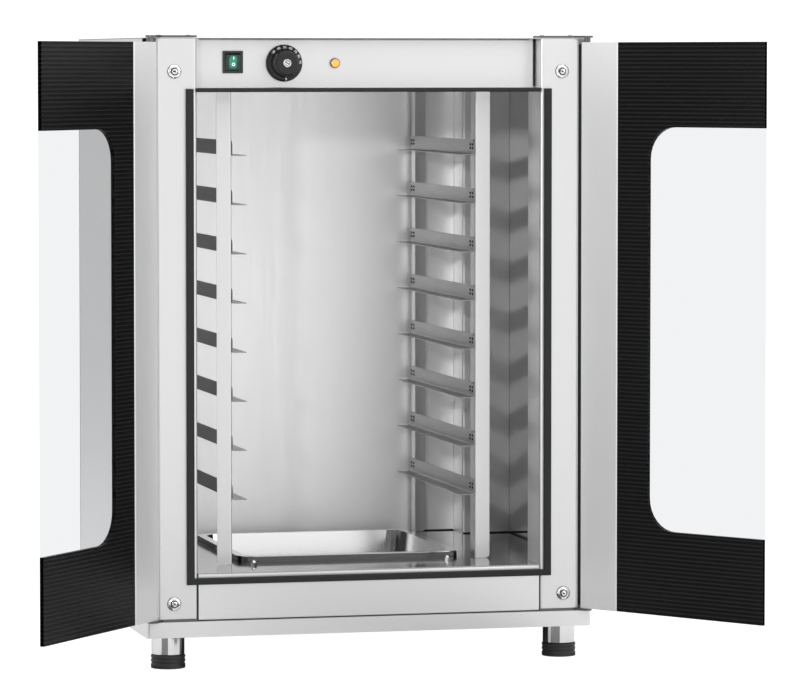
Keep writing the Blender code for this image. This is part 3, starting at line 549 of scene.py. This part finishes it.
# %% Screws on the back and the hinge plates
back_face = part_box("top_and_back_panel")[1][1]
plate_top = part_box("hinge_top_left")[1][2]
facing_back = Matrix.Rotation(-math.pi / 2, 4, "X")
column, foot_row = 309, 80
back_spots = [(side * column, z) for side in (-1, 1) for z in (90, 285, 480, 675, 865)]
back_spots += [(x, foot_row) for x in (-155, 0, 155)]
spots = [Matrix.Translation((middle + x * mm, back_face, z * mm)) @ facing_back for x, z in back_spots]
keep("back_screws", repeat(socket_head(3.4, 1.9, 1.2), spots), zinc)
plate_spots = [side * x for side in (-1, 1) for x in (256, 298)]
spots = [Matrix.Translation((middle + x * mm, front + 22 * mm, plate_top)) for x in plate_spots]
keep("hinge_screws", repeat(socket_head(3.2, 0.9, 1.1), spots), zinc)

# %% [markdown]
# Strips of the black silicone fill the seams between the sheets as painted shade, in place of
# the shadow in the gaps. On the front they run round the lower panel and down each hinge rebate,
# and draw the dark lines that part the sheets from each other.

# %% Joint strips on the front
def strip(bm, low, high):
    """Block from its lowest and highest corners, with its long edges eased."""
    low, high = Vector(low), Vector(high)
    made = bmesh.ops.create_cube(bm, size=1.0, matrix=Matrix.Translation((low + high) / 2)
                                 @ Matrix.Diagonal((*(high - low), 1)))
    edges = {e for v in made["verts"] for e in v.link_edges}
    bmesh.ops.bevel(bm, geom=list(edges), offset=min(high - low) * 0.3, offset_type="OFFSET", segments=2,
                    affect="EDGES", profile=0.5, material=-1)


def beside(side, near, far):
    """Two places on one side of the middle, near and far in millimetres, the lower one first."""
    return sorted((middle + side * near * mm, middle + side * far * mm))


panel_low, panel_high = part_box("lower_front_panel")
plinth_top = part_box("plinth_frame")[1][2]
# Dark strips in the seams: painted shade.
gap_shade_strips = bmesh.new()
proud, flush = front - 0.25 * mm, front - 0.02 * mm
opening_left, opening_right = beside(1, -247, 247)
for side in (-1, 1):
    left, right = beside(side, 247.2, 248.6)
    strip(gap_shade_strips, (left, proud, panel_low[2] + 0.2 * mm), (right, flush, panel_high[2]))
    left, right = beside(side, 305.5, 320.8)
    strip(gap_shade_strips, (left, front + 14 * mm, panel_low[2] + 6 * mm), (right, front + 19.6 * mm, 875 * mm))
strip(gap_shade_strips, (opening_left, proud, plinth_top + 0.05 * mm),
      (opening_right, flush, plinth_top + 1.4 * mm))
print(len(gap_shade_strips.verts), "corners in the strips on the front")

# %% [markdown]
# The same dark strip, as painted shade, lines the seams of the chamber's floor against the back,
# the two rear columns and the sides.

# %% Joint strips round the floor
floor_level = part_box("floor_pan")[1][2]
column_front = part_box("back_liner")[0][1]
wall_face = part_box("back_liner")[1][1] - 1.0 * mm
seam_foot, seam_top = floor_level + 0.05 * mm, floor_level + 1.7 * mm
strip(gap_shade_strips, (opening_left, wall_face - 1.4 * mm, seam_foot),
      (opening_right, wall_face - 0.1 * mm, seam_top))
for side in (-1, 1):
    left, right = beside(side, 248.5, 319.5)
    strip(gap_shade_strips, (left, column_front - 1.4 * mm, seam_foot), (right, column_front - 0.1 * mm, seam_top))
    left, right = beside(side, 319.2, 320.6)
    strip(gap_shade_strips, (left, front + 66 * mm, seam_foot), (right, column_front - 1.5 * mm, seam_top))
keep("joint_strips_painted_shade", gap_shade_strips, silicone)

# %% [markdown]
# The floor is folded down at the front, and a satin strip lies over the fold. It is the light
# line along the bottom of the opening, a painted highlight over the floor's darker tone.

# %% Sill strip
# Satin strip on the fold: painted highlight.
sill = bmesh.new()
sill_left, sill_right = beside(1, -247.2, 247.2)
strip(sill, (sill_left, front - 0.45 * mm, floor_level - 6.0 * mm),
      (sill_right, front - 0.05 * mm, floor_level - 1.7 * mm))
keep("sill_strip_painted_highlight", sill, satin_across)

# %% [markdown]
# The bracket that carries the water pan is bolted through the floor with two dome nuts. A dome
# covers the end of its bolt, so that nothing sharp catches a hand that wipes the floor. Each nut
# is a turned dome on a block with six sides.

# %% Dome nuts on the floor
nut = spun([(0, 7.6), (1.3, 7.4), (2.5, 6.7), (3.3, 5.6), (3.6, 4.3), (3.6, 3.5)], steps=24)
bmesh.ops.create_cone(nut, segments=6, radius1=4.6 * mm, radius2=4.6 * mm, depth=3.6 * mm,
                      cap_ends=True, matrix=Matrix.Translation((0, 0, 1.85 * mm)))
nut_places = [Matrix.Translation(at(x, 86, floor_level / mm)) for x in (-150, 134)]
keep("support_nuts", repeat(nut, nut_places), polished)

# %% [markdown]
# Each rail hangs on its uprights by hooks, which show in the rail as two rows of short slots at
# each end. They are too small to be worth cutting, so each is a thin dark tongue that stands
# a hair proud of the sheet.

# %% Hook slots in the rails
slots = bmesh.new()
tongue = Matrix.Diagonal((0.3 * mm, 8.0 * mm, 3.2 * mm, 1))
for name in [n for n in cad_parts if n.startswith("rail_")]:
    low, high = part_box(name)
    face = low[0] + 1.0 * mm if "left" in name else high[0] - 1.0 * mm
    for end, step in ((low[1], 1), (high[1], -1)):
        for inset in (8.0, 22.0):
            for level in (9.4, 14.6):
                spot = Vector((face, end + step * inset * mm, low[2] + level * mm))
                bmesh.ops.create_cube(slots, size=1.0, matrix=Matrix.Translation(spot) @ tongue)
edges = [e for e in slots.edges if abs(e.verts[0].co.x - e.verts[1].co.x) > 0.1 * mm]
bmesh.ops.bevel(slots, geom=edges, offset=0.8 * mm, offset_type="OFFSET", segments=2, affect="EDGES",
                profile=0.5, material=-1)
# Slot in shadow: black without any shine, as a hole that light doesn't reach.
hole_black = new_material("shadowed_slot", "050505", 0.9, Specular_IOR_Level=0.1)
keep("rail_hook_slots", slots, hole_black)

# %% [markdown]
# The knob carries a scale in degrees, printed in white on its skirt. The numbers are text turned
# to mesh and set round the skirt, flat on its face. They turn with the knob.

# %% Scale of the knob
# Pad print: flat white that reads well on black.
printed = new_material("white_pad_print", "f4f4f2", 0.45)
knob_low, knob_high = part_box("thermostat_knob")
knob_x = (knob_low[0] + knob_high[0]) / 2
knob_z = (knob_low[2] + knob_high[2]) / 2
recess_depth, air, skirt_depth = 28, 0.3, 5.7
skirt_face = at(0, recess_depth - air - skirt_depth, 0)[1]


def lettering(text, size_mm, place):
    """Flat text turned to mesh and set in place by a matrix."""
    curve = bpy.data.curves.new("text", "FONT")
    curve.body = text
    curve.size = size_mm * mm
    curve.align_x = "CENTER"
    curve.align_y = "CENTER"
    curve.extrude = 0.08 * mm
    curve.resolution_u = 3
    made = bpy.data.objects.new("text", curve)
    bpy.context.collection.objects.link(made)
    bpy.context.view_layer.update()
    mesh = bpy.data.meshes.new_from_object(made.evaluated_get(bpy.context.evaluated_depsgraph_get()))
    bpy.data.objects.remove(made)
    bm = bmesh.new()
    bm.from_mesh(mesh)
    bpy.data.meshes.remove(mesh)
    bmesh.ops.transform(bm, matrix=place, verts=bm.verts)
    return bm


marks = []
# Each number and its angle from the top, clockwise in degrees.
scale = {"30": -46, "40": -23, "50": 0, "60": 22, "70": 44, "80": 65, "90": 87, "0": 175}
skirt_centre = Matrix.Translation((knob_x, skirt_face, knob_z)) @ facing_front
out_to_scale = Matrix.Translation((0, 22.2 * mm, 0))
for text, degrees in scale.items():
    turn = Matrix.Rotation(math.radians(-degrees), 4, "Z")
    marks.append(lettering(text, 4.8, skirt_centre @ turn @ out_to_scale))
keep("knob_scale", gather(marks), printed, body="knob")

# %% [markdown]
# A slotted metal plug closes the knob's middle. It is a turned ring round a turned core, and the
# slot for a screwdriver is a thin dark block laid on the core's face.

# %% Plug of the knob
plug_centre = Matrix.Translation((knob_x, knob_low[1] + 0.8 * mm, knob_z)) @ facing_front
ring = repeat(spun([(3.8, 0.05), (3.8, 1.0), (4.2, 1.4), (5.3, 1.4), (5.8, 0.9), (5.8, 0.05), (3.8, 0.05)]),
              [plug_centre])
core = repeat(spun([(0, 0.9), (2.9, 0.9), (3.3, 0.6), (3.3, 0.05), (0, 0.05)]), [plug_centre])
keep("knob_plug", gather([ring, core]), polished, body="knob")
slit = bmesh.new()
slit_turn = Matrix.Rotation(math.radians(-35), 4, "Z")
slit_block = Matrix.Translation((0, 0, 0.86 * mm)) @ Matrix.Diagonal((5.8 * mm, 1.2 * mm, 0.2 * mm, 1))
bmesh.ops.create_cube(slit, size=1.0, matrix=plug_centre @ slit_turn @ slit_block)
bmesh.ops.bevel(slit, geom=slit.edges[:], offset=0.06 * mm, offset_type="OFFSET", segments=1,
                affect="EDGES", profile=0.5, material=-1)
keep("knob_plug_slot", slit, hole_black, body="knob")

# %% [markdown]
# The rocker carries the usual line and ring, for on and off. They lie on its sloping face, so a
# ray from the front finds the place and the slope under each mark. The line is a thin block and
# the ring is a spun square section.

# %% Marks on the rocker
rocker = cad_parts["switch_rocker"]
rocker_low, rocker_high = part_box("switch_rocker")
rocker_x = (rocker_low[0] + rocker_high[0]) / 2
rocker_z = (rocker_low[2] + rocker_high[2]) / 2


def on_rocker(x, z):
    """Matrix that lays a mark flat on the rocker, x and z millimetres from its middle."""
    start = Vector((rocker_x + x * mm, rocker_low[1] - 0.01, rocker_z + z * mm))
    place, slope = rocker.ray_cast(start, Vector((0, 1, 0)))[1:3]
    facing = slope.to_track_quat("Z", "Y").to_matrix().to_4x4()
    return Matrix.Translation(place + slope * 0.2 * mm) @ facing


line = bmesh.new()
strip(line, (-0.55 * mm, -2.0 * mm, 0), (0.55 * mm, 2.0 * mm, 0.12 * mm))
circle = spun([(1.3, 0), (1.3, 0.12), (2.3, 0.12), (2.3, 0), (1.3, 0)], steps=24)
# Print lit from behind: a white that glows a little.
lit_print = new_material("lit_white_print", "f4f4f2", 0.45, Emission_Strength=0.6,
                         Emission_Color=(1.0, 1.0, 1.0, 1.0))
marks = [repeat(line, [on_rocker(0.6, 5.6)]), repeat(circle, [on_rocker(0.6, -3.2)])]
keep("rocker_marks", gather(marks), lit_print, body="rocker")

# %% [markdown]
# Cut-out product shots stand on a table of white acrylic that is lit from below, so the shadows
# almost vanish. The table here glows a little less than the white room and is matt, with the
# faint mottle of a well used sheet.

# %% Lit table
# White acrylic over lamps: nearly as bright as the room, so that only soft shadows show.
table_white = new_material("lit_acrylic_table", "606060", 0.6, Emission_Strength=0.92,
                           Emission_Color=(1.0, 1.0, 1.0, 1.0))
place = add_node(table_white, "ShaderNodeTexCoord")
mottle = add_node(table_white, "ShaderNodeTexNoise",
                  {"Vector": place.outputs["Object"], "Scale": 3.0, "Detail": 2.0})
tone = add_node(table_white, "ShaderNodeMix",
                {"Factor": mottle.outputs["Fac"], "A": linear("5c5c5c"), "B": linear("646464")},
                data_type="RGBA")
connect(table_white, tone.outputs["Result"], "Base Color")
half_table, below_feet = 1.2, 0.0005
ground = bmesh.new()
bmesh.ops.create_grid(ground, x_segments=8, y_segments=8, size=half_table,
                      matrix=Matrix.Translation((0, 0, -below_feet)))
mesh = bpy.data.meshes.new("studio_floor")
ground.to_mesh(mesh)
ground.free()
mesh.materials.append(table_white)
studio_floor = bpy.data.objects.new("studio_floor", mesh)
bpy.context.collection.objects.link(studio_floor)
print("the table is", 2 * half_table, "m wide")
